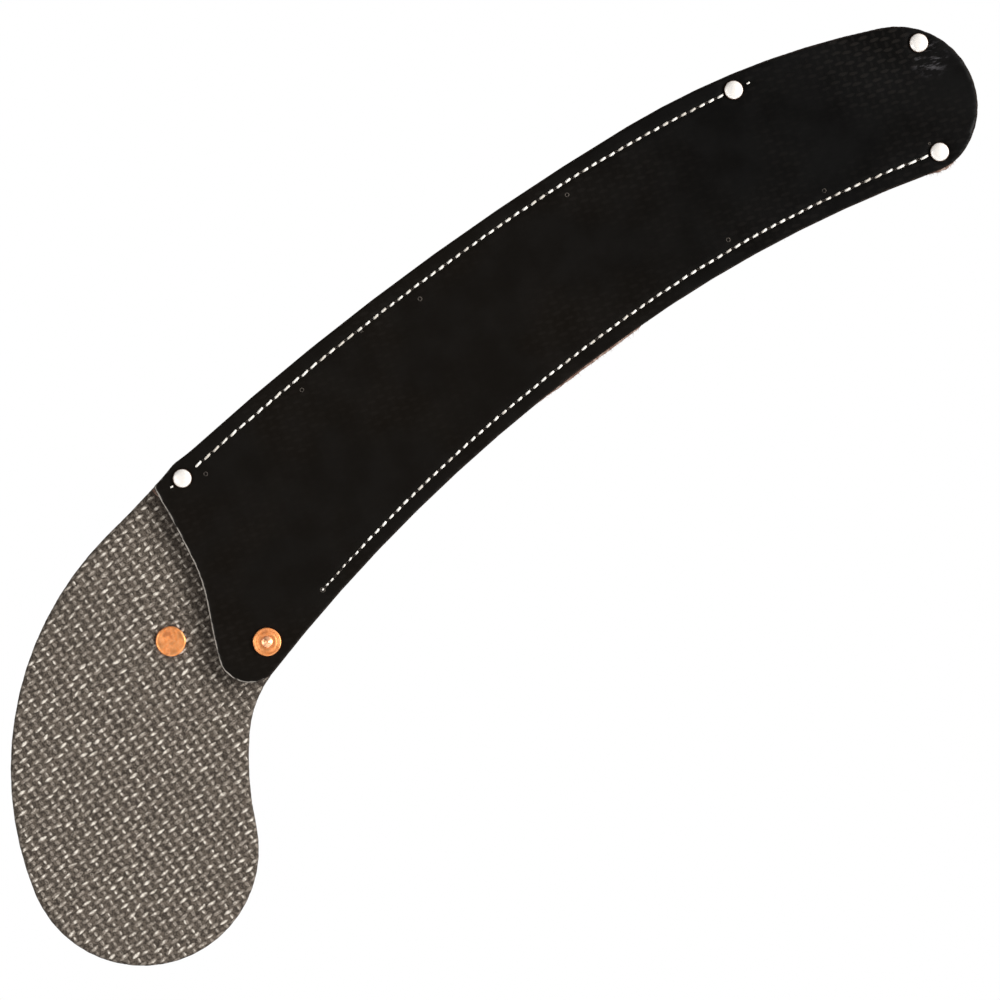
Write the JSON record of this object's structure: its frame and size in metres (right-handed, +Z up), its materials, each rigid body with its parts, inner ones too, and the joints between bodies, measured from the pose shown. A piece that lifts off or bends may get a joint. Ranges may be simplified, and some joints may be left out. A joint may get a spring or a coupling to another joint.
{
  "type": "curved saw scabbard",
  "caption": "Belt-hung scabbard for a curved pruning saw: sewn and riveted rubberised belting with a rounded back shield above the mouth.",
  "frame": {"origin": "midway between the two copper rivets, on the rear face of the back panel, where the belt passes", "axes": "+Z up towards the mouth and the shield, along the pocket; -Y the front, with the rivet caps; +X towards the spine side, away from the saw's teeth"},
  "size_m": [0.1837, 0.0265, 0.5215],
  "materials": {
    "belting_rubber": "smooth calendered rubber face of belting",
    "woven_belting": "rubber-filled woven fabric face of belting",
    "leather": "raw cut leather strip",
    "strap_leather": "oiled strap leather",
    "thread": "bonded twisted thread",
    "nickel": "nickel plate",
    "copper": "hammered copper"
  },
  "bodies": {
    "root": {"back_panel": "woven_belting", "front_panel": "belting_rubber", "welt_tooth_side": "leather", "welt_spine_side": "leather", "needle_thread_spine_seam": "thread", "needle_thread_tooth_seam": "thread", "bobbin_thread_spine_seam": "thread", "bobbin_thread_tooth_seam": "thread", "nickel_cap_mouth": "nickel", "nickel_cap_spine": "nickel", "nickel_cap_tip": "nickel", "nickel_cap_tooth": "nickel", "nickel_post_mouth": "nickel", "nickel_post_spine": "nickel", "nickel_post_tip": "nickel", "nickel_post_tooth": "nickel", "copper_rivet_shield": "copper", "copper_rivet_tongue": "copper", "copper_burr_shield": "copper", "copper_burr_tongue": "copper", "belt_loop": "strap_leather"}
  },
  "joints": []
}
